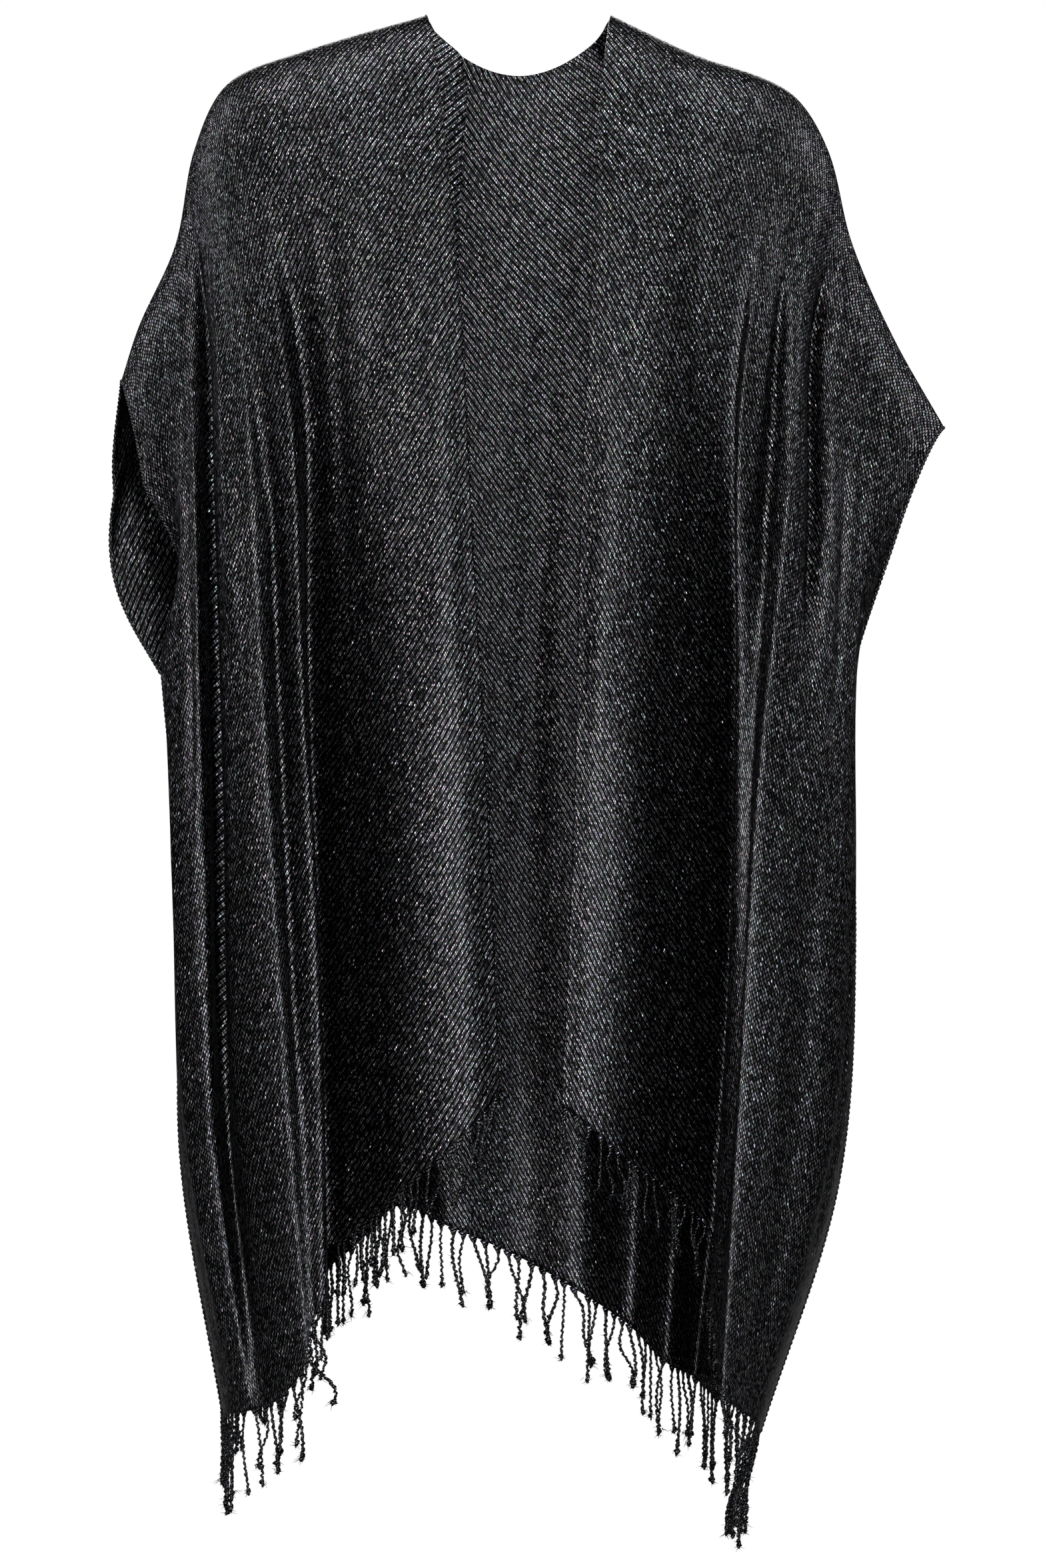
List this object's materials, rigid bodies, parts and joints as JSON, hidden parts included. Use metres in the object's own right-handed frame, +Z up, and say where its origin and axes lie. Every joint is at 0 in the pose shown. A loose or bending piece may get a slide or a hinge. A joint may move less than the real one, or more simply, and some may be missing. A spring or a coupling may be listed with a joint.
{
  "type": "kimono jacket",
  "caption": "Open-front kimono jacket, a ruana-like drape of dark metallic twill with open armholes, joined sides and knotted fringe along a slanted hem.",
  "frame": {"origin": "midway between the two neck points at shoulder height, where the wearer's shoulders hold the jacket", "axes": "+X to the right of the front view, +Y to the back, +Z up"},
  "size_m": [0.5745, 0.237, 1.0298],
  "materials": {
    "twill": "black twill with fine metallic weft, soft sheen",
    "cord": "black twisted yarn with metallic glints"
  },
  "bodies": {
    "root": {"front_left": "twill", "front_right": "twill", "back": "twill", "fringe_front_left": "cord", "fringe_front_right": "cord", "fringe_back": "cord"}
  },
  "joints": []
}
